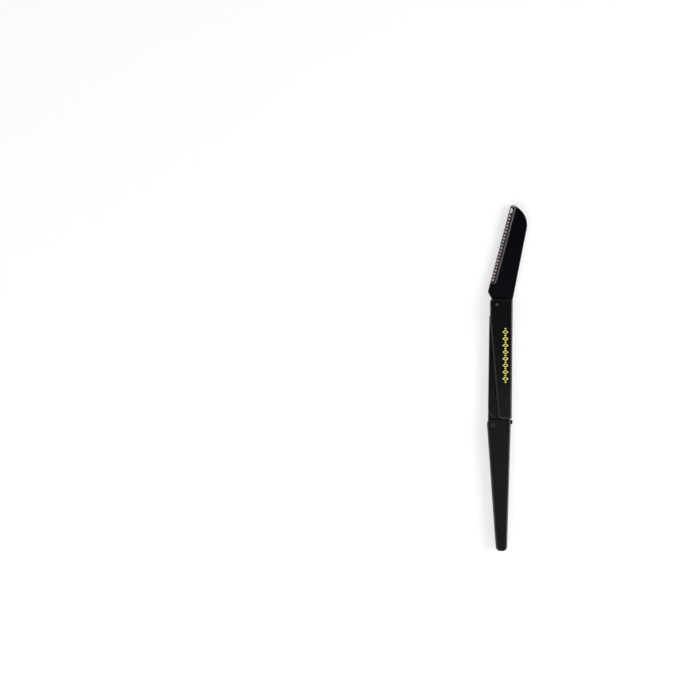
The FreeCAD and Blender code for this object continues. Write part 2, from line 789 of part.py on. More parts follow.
def make_tail_shell(side, label):
    """Half of the tail: a tapered tray, open along its left side and its top, with a solid tip."""
    body = new_body(label, tail_place)
    tip = -tail_length
    plan = [
        (tail_left_x(tail_top), tail_top, mm.tail_left_corner),
        (tail_right_x(tail_top), tail_top, mm.tail_right_corner),
        (tail_right_x(tip), tip, mm.tail_tip_corner),
        (tail_left_x(tip), tip, mm.tail_tip_corner),
    ]
    pad(body, "tray", outline_sketch(body, "plan", plan), razor_half, side)
    ease(body, "Fillet", "outer_round", mm.tail_round, outwards(side, razor_half))
    ease(body, "Chamfer", "seam", mm.seam_chamfer, NOTHING)

    top = tail_top + mm.cut_overrun
    left = tail_left_x(top) - mm.cut_overrun
    right = tail_right_x(top) + mm.cut_overrun
    channel = [
        (left, channel_floor),
        (tail_right_x(channel_floor) - mm.tail_web, channel_floor, mm.tail_floor_corner),
        (tail_right_x(tail_web_top) - mm.tail_web, tail_web_top),
        (right, tail_web_top),
        (right, top),
        (left, top),
    ]
    pocket(body, "channel", outline_sketch(body, "channel_plan", channel), channel_half, side)

    if side == FRONT:
        bore_and_counterbore(body, side, 0, 0, mm.tail_pin_head_radius, mm.tail_pin_sink)
    else:
        bore_and_counterbore(body, side, 0, 0, mm.cap_radius, mm.cap_thickness + mm.cap_recess)

    peg_y = tip + mm.tail_peg_rise
    peg_x = (tail_left_x(peg_y) + tail_right_x(peg_y)) / 2
    if side == FRONT:
        plan = circle_sketch(body, "peg_plan", [(peg_x, peg_y, shell_hole_radius)])
        pocket(body, "peg_hole", plan, shell_hole_depth, side)
    else:
        plan = circle_sketch(body, "peg_plan", [(peg_x, peg_y, mm.shell_peg_radius)])
        pad(body, "peg", plan, mm.shell_peg_height, both_ways=True)
    tail_web_rib(body, side)
    return body


def tail_web_rib(body, side):
    """The rib along the tail's web on the back shell, and its groove in the front shell."""
    clearance = mm.peg_clearance if side == FRONT else NOTHING
    half_width = mm.web_rib_width / 2 + clearance
    inwards = mm.tail_web / 2
    high = tail_web_top - mm.web_rib_inset + clearance
    low = channel_floor + mm.web_rib_inset - clearance
    corners = [
        (tail_right_x(low) - inwards - half_width, low),
        (tail_right_x(low) - inwards + half_width, low),
        (tail_right_x(high) - inwards + half_width, high),
        (tail_right_x(high) - inwards - half_width, high),
    ]
    plan = outline_sketch(body, "web_rib_plan", corners)
    if side == FRONT:
        pocket(body, "groove", plan, mm.web_rib_height + mm.peg_clearance, side)
    else:
        pad(body, "rib", plan, mm.web_rib_height, both_ways=True)


# Pins, caps and washers, turned parts about their pivot
def make_pin(label, place, head_radius, head_height, sink, rounding):
    """Rivet with a low domed head, from its seat in the front face down into the cap at the back."""
    body = new_body(label, place)
    seat = razor_half - sink
    shank_end = mm.cap_recess + mm.cap_skin - razor_half
    shank = circle_sketch(body, "shank_plan", [(0, 0, mm.pin_radius)], level=shank_end)
    pad(body, "shank", shank, seat - shank_end)
    head = circle_sketch(body, "head_plan", [(0, 0, head_radius)], level=seat)
    pad(body, "head", head, head_height)
    ease(body, "Fillet", "dome", rounding, seat + head_height)
    return body


def make_cap(label, place):
    """Small cup pressed over the end of the pin, flush in the back face."""
    body = new_body(label, place)
    bottom = mm.cap_recess - razor_half
    disc = circle_sketch(body, "disc_plan", [(0, 0, mm.cap_radius)], level=bottom)
    pad(body, "disc", disc, mm.cap_thickness)
    cup_floor = bottom + mm.cap_skin
    cup = circle_sketch(body, "cup_plan", [(0, 0, bore_radius)], level=cup_floor)
    pocket(body, "cup", cup, mm.cap_thickness)
    return body


def make_washer(label, place, side, inner_face, thickness):
    """Thin friction washer that lies outside the given face of the tang or the tongue."""
    body = new_body(label, place)
    level = outwards(side, inner_face + mm.washer_clearance)
    disc = circle_sketch(body, "disc_plan", [(0, 0, mm.washer_radius)], level=level)
    pad(body, "disc", disc, thickness, side)
    hole = circle_sketch(body, "hole_plan", [(0, 0, bore_radius)])
    pocket(body, "hole", hole, razor_half + mm.cut_overrun, both_ways=True)
    return body


parts = [
    make_sheath_shell(FRONT, "sheath_front_shell"),
    make_sheath_shell(BACK, "sheath_back_shell"),
    make_head_carrier(FRONT, "head_front_carrier"),
    make_head_carrier(BACK, "head_back_carrier"),
    make_blade("blade"),
    make_blade_guard("blade_guard"),
    make_tail_shell(FRONT, "tail_front_shell"),
    make_tail_shell(BACK, "tail_back_shell"),
    make_pin("head_pivot_pin", head_place, mm.head_pin_head_radius,
             mm.head_pin_head_height, mm.head_pin_sink, mm.head_pin_round),
    make_cap("head_pivot_cap", head_place),
    make_washer("head_washer_front", head_place, FRONT, tang_half, mm.head_washer_thickness),
    make_washer("head_washer_back", head_place, BACK, tang_half, mm.head_washer_thickness),
    make_pin("tail_pivot_pin", tail_place, mm.tail_pin_head_radius,
             mm.tail_pin_head_height, mm.tail_pin_sink, mm.tail_pin_round),
    make_cap("tail_pivot_cap", tail_place),
    make_washer("tail_washer_front", tail_place, FRONT, tongue_half, mm.tail_washer_thickness),
    make_washer("tail_washer_back", tail_place, BACK, tongue_half, mm.tail_washer_thickness),
]
doc.recompute()

broken = [item.Label for item in doc.Objects if {"Invalid", "Error"} & set(item.State)]
if broken:
    raise RuntimeError(f"objects that failed: {broken}")
os.makedirs("parts", exist_ok=True)
for part in parts:
    if part.Shape.isNull() or not part.Shape.isValid():
        raise RuntimeError(f"{part.Label} has no valid shape")
    if len(part.Shape.Solids) != 1:
        raise RuntimeError(f"{part.Label} is not one solid")
for part in parts:
    part.Shape.exportStep(f"parts/{part.Label}.step")
    box = part.Shape.BoundBox
    print(f"{part.Label}: {part.Shape.Volume:.2f} mm3, x {box.XMin:.2f} to {box.XMax:.2f},"
          f" y {box.YMin:.2f} to {box.YMax:.2f}, z {box.ZMin:.2f} to {box.ZMax:.2f}")
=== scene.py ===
# %% [markdown]
# This file dresses a folding eyebrow razor, one finish at a time.
# The real razor is three slim black mouldings in a row. The head carries a straight blade behind a
# thin metal guard with small windows, the sheath in the middle is slotted to take the folded head,
# and the tapered tail is a tray that closes over both.
# The solids come ready made and stay where they are. What is added here is what a mould, a polishing
# wheel and a printing pad would add: grain, gloss, brushed steel, a folded guard and a printed band.

# %% Load the solids
import json
import math

import bmesh
import bpy
from mathutils import Matrix, Vector


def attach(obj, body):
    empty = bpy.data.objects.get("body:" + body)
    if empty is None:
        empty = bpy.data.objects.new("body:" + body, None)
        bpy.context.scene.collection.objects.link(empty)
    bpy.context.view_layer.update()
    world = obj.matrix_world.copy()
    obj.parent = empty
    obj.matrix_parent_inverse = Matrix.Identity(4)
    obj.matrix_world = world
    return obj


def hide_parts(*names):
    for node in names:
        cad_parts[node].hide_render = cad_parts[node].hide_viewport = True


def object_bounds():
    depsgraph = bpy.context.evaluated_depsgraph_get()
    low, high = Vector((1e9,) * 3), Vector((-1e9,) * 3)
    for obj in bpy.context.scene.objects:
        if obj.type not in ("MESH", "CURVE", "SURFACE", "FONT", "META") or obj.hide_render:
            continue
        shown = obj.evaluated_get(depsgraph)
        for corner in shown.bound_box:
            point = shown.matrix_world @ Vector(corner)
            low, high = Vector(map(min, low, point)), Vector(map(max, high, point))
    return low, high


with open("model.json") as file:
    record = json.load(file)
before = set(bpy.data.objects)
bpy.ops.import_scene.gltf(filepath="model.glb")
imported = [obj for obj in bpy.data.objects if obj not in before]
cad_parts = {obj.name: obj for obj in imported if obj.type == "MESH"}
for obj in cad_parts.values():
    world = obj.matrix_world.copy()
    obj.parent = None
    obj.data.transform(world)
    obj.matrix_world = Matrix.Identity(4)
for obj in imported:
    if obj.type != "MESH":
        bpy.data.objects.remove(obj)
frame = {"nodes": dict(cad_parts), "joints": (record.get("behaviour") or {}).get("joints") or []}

scene = bpy.context.scene
scene.view_settings.view_transform = "Standard"
nodes = frame["nodes"]
cad_low, cad_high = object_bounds()
print("solids:", len(nodes), "box in m:", [round(size, 5) for size in cad_high - cad_low])

# %% [markdown]
# Sizes below are in millimetres, as a maker would read them from a drawing, and MM turns them into
# Blender's metres. The head leans to the right on its pivot, so pieces of the head are made upright
# about the pivot and then turned by one matrix.

# %% Units and the head's own frame
MM = 0.001
HEAD_LEAN = math.radians(14.76)

joint_places = {joint["name"]: Vector(joint["pos_m"]) for joint in frame["joints"]}
head_pivot = joint_places["head_fold"]
tail_pivot = joint_places["tail_fold"]
head_frame = (
    Matrix.Translation(head_pivot) @ Matrix.Rotation(-HEAD_LEAN, 4, "Z") @ Matrix.Scale(MM, 4)
)
sheath_frame = Matrix.Scale(MM, 4)
print("pivots in mm:", [[round(part / MM, 2) for part in place] for place in joint_places.values()])

# %% [markdown]
# Every material and every Geometry Nodes tree is a graph of nodes. One small helper adds a node,
# sets its options and fills its inputs, either with a value or with a link from another node. A
# second one sets the stops of a colour ramp, which has two of its own from the start.

# %% Helpers for node graphs
def add_node(tree, kind, inputs=None, **options):
    """A new node. Inputs are given by name or number, as a value or as the socket to link from."""
    node = tree.nodes.new(kind)
    for name, value in options.items():
        setattr(node, name, value)
    for key, value in (inputs or {}).items():
        if isinstance(value, bpy.types.NodeSocket):
            tree.links.new(value, node.inputs[key])
        else:
            node.inputs[key].default_value = value
    return node


def set_stops(ramp, stops):
    """The stops of a colour ramp, from low to high, each a position and a colour."""
    elements = ramp.color_ramp.elements
    ready = len(elements)
    for number, (position, colour) in enumerate(stops):
        stop = elements[number] if number < ready else elements.new(position)
        stop.position = position
        stop.color = (*colour, 1)


print("helpers for node graphs are ready")

# %% [markdown]
# The photograph looks straight down on the razor, from far away, so hardly any side wall shows. A long
# lens gives that. The razor stands right of the middle of the frame: the pixel of the sheath's
# middle and the size of a pixel on the razor put the camera where it was.

# %% Camera
PIXEL = 0.4703
FRAME_PIXELS = 700
SHEATH_MIDDLE_PIXEL = (500.6, 358.5)
LENS = 200
SENSOR = 36

camera_data = bpy.data.cameras.new("camera")
camera_data.lens = LENS
camera_data.sensor_width = SENSOR
camera = bpy.data.objects.new("camera", camera_data)
scene.collection.objects.link(camera)
scene.camera = camera
frame_middle = FRAME_PIXELS / 2
camera_x = (frame_middle - SHEATH_MIDDLE_PIXEL[0]) * PIXEL * MM
camera_y = (SHEATH_MIDDLE_PIXEL[1] - frame_middle) * PIXEL * MM
camera_height = FRAME_PIXELS * PIXEL * MM * LENS / SENSOR
camera.location = (camera_x, camera_y, camera_height + cad_high.z)
print("camera height in m:", round(camera.location.z, 3))

# %% [markdown]
# Black plastic shows hardly any colour of its own. What the eye reads is what it mirrors, so the
# surroundings are built like a photographer's tent: white at the horizon, grey half way up, and nearly
# dark straight above, where the camera looks in. Flat faces then stay black, and rounded edges pick
# up a grey line. The tent's far end is dimmer, because the edges that face it stay dark.

# %% Surroundings
TENT_STOPS = (
    (0.0, 1.0),
    (0.12, 0.8),
    (0.35, 0.45),
    (0.87, 0.04),
)
FAR_START = 0.25
FAR_LIGHT = 0.1

world = bpy.data.worlds.new("studio")
scene.world = world
world.use_nodes = True
world_tree = world.node_tree
world_tree.nodes.clear()
direction = add_node(world_tree, "ShaderNodeTexCoord")
split_direction = add_node(world_tree, "ShaderNodeSeparateXYZ", {"Vector": direction.outputs["Generated"]})
sky = add_node(world_tree, "ShaderNodeValToRGB", {"Fac": split_direction.outputs["Z"]})
set_stops(sky, [(height, (light, light, light)) for height, light in TENT_STOPS])
dimming = add_node(world_tree, "ShaderNodeMapRange", {
    "Value": split_direction.outputs["Y"],
    "From Min": FAR_START,
    "From Max": 1.0,
    "To Min": 1.0,
    "To Max": FAR_LIGHT,
})
tent = add_node(world_tree, "ShaderNodeBackground", {
    "Color": sky.outputs["Color"],
    "Strength": dimming.outputs["Result"],
})
add_node(world_tree, "ShaderNodeOutputWorld", {"Surface": tent.outputs["Background"]})
print("tent light by height:", TENT_STOPS)

# %% [markdown]
# Soft lamps do the rest. The strongest stands low at the right, where the razor's right edges face it.
# Weaker ones at the left and at the near end fill the table, and the far end gets the least. None
# hangs where a flat face would mirror it into the camera.

# %% Lamps
def soft_lamp(name, place, size, power):
    """A square soft box that faces the middle of the razor."""
    data = bpy.data.lights.new(name, "AREA")
    data.shape = "SQUARE"
    data.size = size
    data.energy = power
    lamp = bpy.data.objects.new(name, data)
    lamp.location = place
    lamp.rotation_euler = (-Vector(place)).to_track_quat("-Z", "Y").to_euler()
    scene.collection.objects.link(lamp)
    return lamp


soft_lamp("right_lamp", place=(0.82, -0.1, 0.52), size=0.75, power=8)
soft_lamp("left_lamp", place=(-0.62, -0.42, 0.68), size=0.7, power=3.2)
soft_lamp("near_lamp", place=(0.05, -0.8, 0.55), size=0.7, power=3)
soft_lamp("far_lamp", place=(0, 0.75, 0.66), size=0.8, power=0.4)

# %% [markdown]
# The table is a wide pale disc. It glows a little where the camera sees it, directly or in a mirror
# or through glass, so that the open floor reads as the white of the photograph, while the soft contact
# shadow beside the razor stays.

# %% Table
TABLE_RADIUS = 2.5
TABLE_SIDES = 96
TABLE_GLOW = 0.56
TABLE_COLOUR = (0.55, 0.55, 0.55, 1)

table_mesh = bpy.data.meshes.new("table")
table_builder = bmesh.new()
bmesh.ops.create_circle(table_builder, cap_ends=True, segments=TABLE_SIDES, radius=TABLE_RADIUS)
table_builder.to_mesh(table_mesh)
table_builder.free()
table = bpy.data.objects.new("table", table_mesh)
scene.collection.objects.link(table)
table_material = bpy.data.materials.new("table_white")
table_material.use_nodes = True
table_tree = table_material.node_tree
table_tree.nodes.clear()
matt = add_node(table_tree, "ShaderNodeBsdfDiffuse", {"Color": TABLE_COLOUR})
table_ray = add_node(table_tree, "ShaderNodeLightPath")
seen_by_mirror = add_node(table_tree, "ShaderNodeMath", {
    0: table_ray.outputs["Is Glossy Ray"],
    1: table_ray.outputs["Is Transmission Ray"],
}, operation="MAXIMUM")
seen = add_node(table_tree, "ShaderNodeMath", {
    0: table_ray.outputs["Is Camera Ray"],
    1: seen_by_mirror.outputs["Value"],
}, operation="MAXIMUM")
glow_strength = add_node(table_tree, "ShaderNodeMath", {
    0: seen.outputs["Value"],
    1: TABLE_GLOW,
}, operation="MULTIPLY")
glow = add_node(table_tree, "ShaderNodeEmission", {"Strength": glow_strength.outputs["Value"]})
both = add_node(table_tree, "ShaderNodeAddShader", {0: matt.outputs["BSDF"], 1: glow.outputs["Emission"]})
add_node(table_tree, "ShaderNodeOutputMaterial", {"Surface": both.outputs["Shader"]})
table_mesh.materials.append(table_material)
print("table radius in m:", TABLE_RADIUS)

# %% [markdown]
# Each finish starts from the same two things: the principled shader of a new material, and a pattern
# that is stretched along the piece. A mapping of the texture kind first turns the pattern to the
# piece's own direction and then gives the size of one mark across, along and through the piece.

# %% Helpers for the finishes
def new_finish(name):
    """A new material, its node tree and its shader."""
    material = bpy.data.materials.new(name)
    material.use_nodes = True
    tree = material.node_tree
    return material, tree, tree.nodes["Principled BSDF"]


def marks(tree, mark_size, lean=0.0, detail=2.0):
    """A noise whose marks have the given size in mm, on a piece that leans to the right."""
    place = add_node(tree, "ShaderNodeTexCoord")
    along = add_node(tree, "ShaderNodeMapping", {"Vector": place.outputs["Object"]}, vector_type="TEXTURE")
    along.inputs["Rotation"].default_value = (0, 0, -lean)
    along.inputs["Scale"].default_value = [size * MM for size in mark_size]
    noise = add_node(tree, "ShaderNodeTexNoise", {
        "Vector": along.outputs["Vector"],
        "Scale": 1.0,
        "Detail": detail,
    })
    return noise.outputs["Fac"]


def between(tree, value, low, high, start=0.3, end=0.7):
    """The value spread out from low to high."""
    spread = add_node(tree, "ShaderNodeMapRange", {
        "Value": value,
        "From Min": start,
        "From Max": end,
        "To Min": low,
        "To Max": high,
    })
    return spread.outputs["Result"]


def two_tones(tree, value, deep, pale, start=0.3, end=0.7):
    """A colour that drifts from deep to pale with the value."""
    ramp = add_node(tree, "ShaderNodeValToRGB", {"Fac": value})
    set_stops(ramp, ((start, deep), (end, pale)))
    return ramp.outputs["Color"]


def relief(tree, height, strength, depth, below=None):
    """A bump of the given depth in mm, on top of another one if below is given."""
    inputs = {"Height": height, "Strength": strength, "Distance": depth * MM}
    if below is not None:
        inputs["Normal"] = below
    bump = add_node(tree, "ShaderNodeBump", inputs)
    return bump.outputs["Normal"]


print("helpers for finishes are ready")

# %% [markdown]
# The mouldings are one kind of plastic in three slightly different blacks. Moulded plastic isn't
# perfectly even: the colour drifts slowly, the mould leaves a very fine grain, and handling leaves
# faint marks along the length. Fingers also dull the polish, most where the razor is held, so the
# roughness grows from the head's end of a piece to the tail's end.

# %% Moulded plastic
DRIFT_MARK = (18, 30, 18)
RUB_MARK = (0.3, 11, 0.3)
RUB_DULLING = 0.04
GRAIN_MARK = (0.14, 0.14, 0.14)
GRAIN_DEPTH = 0.02


def moulded_plastic(name, deep, pale, polished_end, dulled_end, lean=0.0):
    """Black plastic from a polished mould. Each end is a height along the razor and a roughness."""
    material, tree, shader = new_finish(name)
    drift = marks(tree, DRIFT_MARK, lean)
    tree.links.new(two_tones(tree, drift, deep, pale), shader.inputs["Base Color"])

    place = add_node(tree, "ShaderNodeTexCoord")
    split_place = add_node(tree, "ShaderNodeSeparateXYZ", {"Vector": place.outputs["Object"]})
    polish = between(
        tree, split_place.outputs["Y"], dulled_end[1], polished_end[1],
        start=dulled_end[0] * MM, end=polished_end[0] * MM,
    )
    rubs = marks(tree, RUB_MARK, lean, detail=3.0)
    rubbed = add_node(tree, "ShaderNodeMath", {
        0: polish,
        1: between(tree, rubs, 0.0, RUB_DULLING, start=0.45, end=0.75),
    }, operation="ADD")
    tree.links.new(rubbed.outputs["Value"], shader.inputs["Roughness"])

    grained = relief(tree, marks(tree, GRAIN_MARK), strength=0.12, depth=GRAIN_DEPTH)
    rubbed_grain = relief(tree, rubs, strength=0.04, depth=GRAIN_DEPTH, below=grained)
    tree.links.new(rubbed_grain, shader.inputs["Normal"])
    return material


head_black = moulded_plastic(
    "head_black", deep=(0.0008, 0.0008, 0.0024), pale=(0.0016, 0.0016, 0.0034),
    polished_end=(72, 0.18), dulled_end=(28, 0.26), lean=HEAD_LEAN,
)
sheath_black = moulded_plastic(
    "sheath_black", deep=(0.0024, 0.0022, 0.0042), pale=(0.0044, 0.004, 0.0056),
    polished_end=(28, 0.2), dulled_end=(-28, 0.38),
)
tail_black = moulded_plastic(
    "tail_black", deep=(0.0056, 0.0044, 0.0062), pale=(0.0082, 0.0066, 0.0084),
    polished_end=(-30, 0.32), dulled_end=(-90, 0.3),
)
washer_nylon = moulded_plastic(
    "washer_nylon", deep=(0.02, 0.02, 0.02), pale=(0.03, 0.03, 0.03),
    polished_end=(28, 0.45), dulled_end=(-36, 0.45),
)
print("plastics:", head_black.name, sheath_black.name, tail_black.name, washer_nylon.name)

# %% [markdown]
# Steel is drawn or ground, and the tool leaves fine parallel lines. A noise that is stretched along
# the lines stands for them, in the colour, in the roughness and as a slight bump. The blade is ground
# across its edge.

# %% Steel
LINE_POLISH = 0.06
LINE_DULLING = 0.08
STEEL_RELIEF = {"strength": 0.25, "depth": 0.01}


def drawn_steel(name, deep, pale, roughness, line_size, lean=0.0):
    """Steel with fine lines of the given size in mm."""
    material, tree, shader = new_finish(name)
    shader.inputs["Metallic"].default_value = 1.0
    lines = marks(tree, line_size, lean, detail=4.0)
    tree.links.new(two_tones(tree, lines, deep, pale), shader.inputs["Base Color"])
    dullness = between(tree, lines, roughness - LINE_POLISH, roughness + LINE_DULLING)
    tree.links.new(dullness, shader.inputs["Roughness"])
    tree.links.new(relief(tree, lines, **STEEL_RELIEF), shader.inputs["Normal"])
    return material


blade_steel = drawn_steel(
    "blade_steel", deep=(0.88, 0.81, 0.82), pale=(0.97, 0.92, 0.93),
    roughness=0.68, line_size=(2, 0.08, 2), lean=HEAD_LEAN,
)
foil_steel = drawn_steel(
    "guard_foil", deep=(0.075, 0.05, 0.055), pale=(0.12, 0.08, 0.088),
    roughness=0.5, line_size=(0.1, 5, 0.1), lean=HEAD_LEAN,
)
band_steel = drawn_steel(
    "guard_band", deep=(0.17, 0.15, 0.16), pale=(0.25, 0.22, 0.235),
    roughness=0.5, line_size=(0.06, 6, 0.06), lean=HEAD_LEAN,
)
bead_steel = drawn_steel(
    "guard_bead", deep=(0.4, 0.37, 0.38), pale=(0.55, 0.5, 0.51),
    roughness=0.42, line_size=(0.1, 4, 0.1), lean=HEAD_LEAN,
)
tip_steel = drawn_steel(
    "guard_tip", deep=(0.72, 0.67, 0.68), pale=(0.88, 0.83, 0.84),
    roughness=0.5, line_size=(0.1, 4, 0.1), lean=HEAD_LEAN,
)
steels = (blade_steel, foil_steel, band_steel, bead_steel, tip_steel)
print("steels:", [steel.name for steel in steels])

# %% [markdown]
# The pins are turned and then blackened. Their colour carries a painted highlight: the head's pin is
# paler in the middle of its dome, the tail's pin only on a thin ring near its rim. The distance from
# the pin's axis picks the tone. Fine wear marks go only into the roughness and a slight bump.

# %% Blackened pins
PIN_REACH = 1.5
BLUE_CAST = 1.15
WEAR_MARK = (0.25, 0.25, 0.25)


def blackened_steel(name, pivot, tones):
    """Blackened steel with a painted highlight in its colour. The tones are pairs of a radius from the pivot
    and a grey.
    """
    material, tree, shader = new_finish(name)
    shader.inputs["Metallic"].default_value = 1.0
    place = add_node(tree, "ShaderNodeTexCoord")
    from_pivot = add_node(tree, "ShaderNodeVectorMath", {
        0: place.outputs["Object"],
        1: pivot,
    }, operation="SUBTRACT")
    flat = add_node(tree, "ShaderNodeVectorMath", {
        0: from_pivot.outputs["Vector"],
        1: (1, 1, 0),
    }, operation="MULTIPLY")
    radius = add_node(tree, "ShaderNodeVectorMath", {0: flat.outputs["Vector"]}, operation="LENGTH")
    share = add_node(tree, "ShaderNodeMath", {
        0: radius.outputs["Value"],
        1: PIN_REACH * MM,
    }, operation="DIVIDE")
    ramp = add_node(tree, "ShaderNodeValToRGB", {"Fac": share.outputs["Value"]})
    # The pale greys of this ramp are a painted highlight on the pin.
    set_stops(ramp, [(reach / PIN_REACH, (grey, grey, BLUE_CAST * grey)) for reach, grey in tones])
    tree.links.new(ramp.outputs["Color"], shader.inputs["Base Color"])
    wear = marks(tree, WEAR_MARK, detail=4.0)
    tree.links.new(between(tree, wear, low=0.36, high=0.5), shader.inputs["Roughness"])
    tree.links.new(relief(tree, wear, **STEEL_RELIEF), shader.inputs["Normal"])
    return material


# Painted highlight: pale in the middle of the head pin's dome, and on a thin ring near the tail pin's rim.
head_pin_steel = blackened_steel(
    "head_pin_steel", head_pivot, ((0.0, 0.27), (0.36, 0.23), (0.66, 0.03))
)
tail_pin_steel = blackened_steel(
    "tail_pin_steel", tail_pivot, ((0.5, 0.03), (0.74, 0.2), (0.98, 0.03))
)
print("pin steels:", head_pin_steel.name, tail_pin_steel.name)

# %% [markdown]
# Each solid keeps its shape and gets the finish of its piece.

# %% Finishes on the solids
finishes = {
    "head_front_carrier": head_black,
    "head_back_carrier": head_black,
    "sheath_front_shell": sheath_black,
    "sheath_back_shell": sheath_black,
    "tail_front_shell": tail_black,
    "tail_back_shell": tail_black,
    "blade": blade_steel,
    "blade_guard": foil_steel,
    "head_pivot_pin": head_pin_steel,
    "head_pivot_cap": head_pin_steel,
    "tail_pivot_pin": tail_pin_steel,
    "tail_pivot_cap": tail_pin_steel,
    "head_washer_front": washer_nylon,
    "head_washer_back": washer_nylon,
    "tail_washer_front": washer_nylon,
    "tail_washer_back": washer_nylon,
}
for name, material in finishes.items():
    solid = nodes[name]
    if not solid.material_slots:
        solid.data.materials.append(None)
    for holder in solid.material_slots:
        holder.material = material
print("finished solids:", len(finishes), "of", len(nodes))

# %% [markdown]
# The guard is the finest piece of the razor. A strip of foil, 0.15 mm thick, is pierced with a row of
# round windows, folded lengthwise round the cutting edge and pressed into the head from both sides. A
# ridge runs along its fold, a plain band lies along the head, and a lip closes the recess. All its
# sizes are read off in the head's own frame: x across from the pivot, y along to the tip.

# %% Sizes of the guard
FOLD_X = -5.52
FOLD_HALF = 0.2
RIM_WIDTH = 0.5
FLAT_X = -3.52
FLAT_HALF = 0.35
STRIP_RIGHT = -2.92
INSERT_RIGHT = -1.74
FOIL = 0.15
STRIP_LOW = 9.0
INSERT_LOW = 8.42
INSERT_HIGH = 45.35
TIP_Y = 48.14
TIP_CORNER = 1.6
LOW_CORNER = 1.9
CROWN_SLOPE = 0.3984


def crown_y(x, inset=0.0):
    """The straight top of the guard, or a line inside it."""
    return TIP_Y - CROWN_SLOPE * (x - FOLD_X) - inset * math.hypot(1, CROWN_SLOPE)


def rounded(before, corner, after, radius, steps=10):
    """The points of the arc that rounds a corner between two neighbours."""
    corner = Vector(corner)
    back = (Vector(before) - corner).normalized()
    ahead = (Vector(after) - corner).normalized()
    half_angle = back.angle(ahead) / 2
    centre = corner + (back + ahead).normalized() * (radius / math.sin(half_angle))
    first = corner + back * (radius / math.tan(half_angle)) - centre
    last = corner + ahead * (radius / math.tan(half_angle)) - centre
    whole = first.angle(last)
    points = []
    for step in range(steps + 1):
        share = step / steps
        arm = (first * math.sin((1 - share) * whole) + last * math.sin(share * whole)) / math.sin(whole)
        points.append(tuple(centre + arm))
    return points


def tip_arc(inset):
    """The guard's rounded tip, from the fold side to the crown, at a distance inside the outline."""
    corner = (FOLD_X + inset, crown_y(FOLD_X + inset, inset))
    before = (corner[0], 0.0)
    after = (STRIP_RIGHT, crown_y(STRIP_RIGHT, inset))
    return rounded(before, corner, after, TIP_CORNER - inset)


def low_arc(inset):
    """The rounded lower corner of the visible strip, from its bottom to its right side."""
    corner = (STRIP_RIGHT - inset, STRIP_LOW + inset)
    return rounded((FOLD_X, corner[1]), corner, (corner[0], TIP_Y), LOW_CORNER - inset)


print("guard width and length in mm:", round(STRIP_RIGHT - FOLD_X, 2), round(TIP_Y - STRIP_LOW, 2))

# %% [markdown]
# Three small tools make every extra piece. One fills a closed outline to a slab, or a ring if it has
# a hole. One runs a Geometry Nodes tree on a mesh and hands back the plain mesh. The last one puts the
# finished mesh in its place, smooths its shading and hangs it on the body that carries it.

# %% Slabs, trees and finished pieces
def add_slab(builder, outline, low, high, hole=()):
    """A slab of even thickness. A hole has as many corners as the outline."""
    levels = []
    for height in (low, high):
        outer = [builder.verts.new((x, y, height)) for x, y in outline]
        inner = [builder.verts.new((x, y, height)) for x, y in hole]
        levels.append((outer, inner))
    (outer_low, inner_low), (outer_high, inner_high) = levels
    for i in range(len(outline)):
        j = (i + 1) % len(outline)
        builder.faces.new((outer_low[i], outer_low[j], outer_high[j], outer_high[i]))
        if hole:
            builder.faces.new((inner_low[j], inner_low[i], inner_high[i], inner_high[j]))
            builder.faces.new((outer_high[i], outer_high[j], inner_high[j], inner_high[i]))
            builder.faces.new((outer_low[j], outer_low[i], inner_low[i], inner_low[j]))
    if not hole:
        builder.faces.new(outer_high)
        builder.faces.new(list(reversed(outer_low)))


def built_mesh(name, builder):
    """The mesh of a finished builder, with its faces turned outwards."""
    bmesh.ops.recalc_face_normals(builder, faces=builder.faces)
    mesh = bpy.data.meshes.new(name)
    builder.to_mesh(mesh)
    builder.free()
    return mesh


def carved(mesh, cutter, operation):
    """The mesh after a boolean with another mesh."""
    piece = bpy.data.objects.new("blank", mesh)
    tool = bpy.data.objects.new("cutter", cutter)
    for item in (piece, tool):
        scene.collection.objects.link(item)
    modifier = piece.modifiers.new("carve", "BOOLEAN")
    modifier.operation = operation
    modifier.solver = "EXACT"
    modifier.object = tool
    result = bpy.data.meshes.new_from_object(piece.evaluated_get(bpy.context.evaluated_depsgraph_get()))
    for item in (piece, tool):
        bpy.data.objects.remove(item)
    return result


def new_tree(name, sizes):
    """A Geometry Nodes tree that takes a mesh and named sizes. Whole sizes are counts."""
    tree = bpy.data.node_groups.new(name, "GeometryNodeTree")
    tree.interface.new_socket("Geometry", in_out="INPUT", socket_type="NodeSocketGeometry")
    for size_name, size in sizes.items():
        kind = "NodeSocketInt" if isinstance(size, int) else "NodeSocketFloat"
        tree.interface.new_socket(size_name, in_out="INPUT", socket_type=kind)
    tree.interface.new_socket("Geometry", in_out="OUTPUT", socket_type="NodeSocketGeometry")
    return tree, add_node(tree, "NodeGroupInput").outputs


def end_tree(tree, geometry, material):
    """Close a tree: instances become a real mesh, and the mesh gets its finish."""
    real = add_node(tree, "GeometryNodeRealizeInstances", {"Geometry": geometry})
    finished = add_node(tree, "GeometryNodeSetMaterial", {"Geometry": real.outputs["Geometry"]})
    finished.inputs["Material"].default_value = material
    add_node(tree, "NodeGroupOutput", {"Geometry": finished.outputs["Geometry"]})


def run_tree(tree, mesh, sizes):
    """The plain mesh that a tree makes of a mesh."""
    piece = bpy.data.objects.new("blank", mesh)
    scene.collection.objects.link(piece)
    modifier = piece.modifiers.new(tree.name, "NODES")
    modifier.node_group = tree
    for socket in tree.interface.items_tree:
        if socket.in_out == "INPUT" and socket.name in sizes:
            modifier[socket.identifier] = sizes[socket.name]
    result = bpy.data.meshes.new_from_object(piece.evaluated_get(bpy.context.evaluated_depsgraph_get()))
    bpy.data.objects.remove(piece)
    return result


